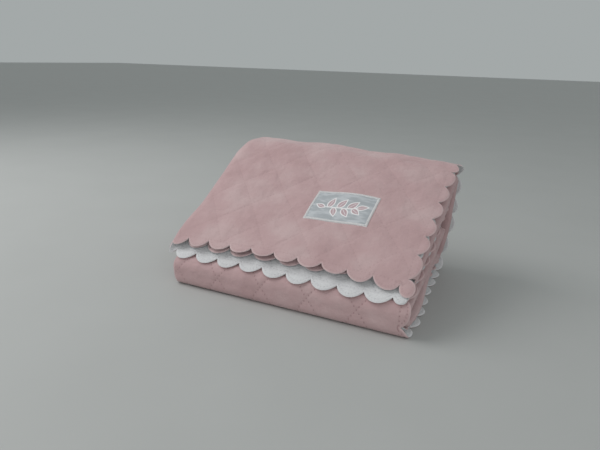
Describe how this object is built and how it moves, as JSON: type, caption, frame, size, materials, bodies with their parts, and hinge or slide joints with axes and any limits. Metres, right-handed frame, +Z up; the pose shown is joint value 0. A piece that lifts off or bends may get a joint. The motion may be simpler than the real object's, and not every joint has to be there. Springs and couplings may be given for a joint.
{
  "type": "folded quilted blanket",
  "caption": "Folded quilted child's blanket, pink velvet with a white reverse, diamond quilting and a scalloped edge, with a small sewn-on label.",
  "frame": {"origin": "middle of the bounding box's base, on the surface that the folded blanket rests on", "axes": "+X to the right along the front fold, +Y from the front fold to the back fold, +Z up"},
  "size_m": [0.3674, 0.281, 0.186],
  "materials": {
    "pink_velvet": "short velvet pile, matt with a soft sheen",
    "white_plush": "short white plush, matt",
    "label_satin": "woven satin with a raised border"
  },
  "bodies": {
    "root": {"face_panel": "pink_velvet", "reverse_panel": "white_plush", "label": "label_satin"}
  },
  "joints": []
}
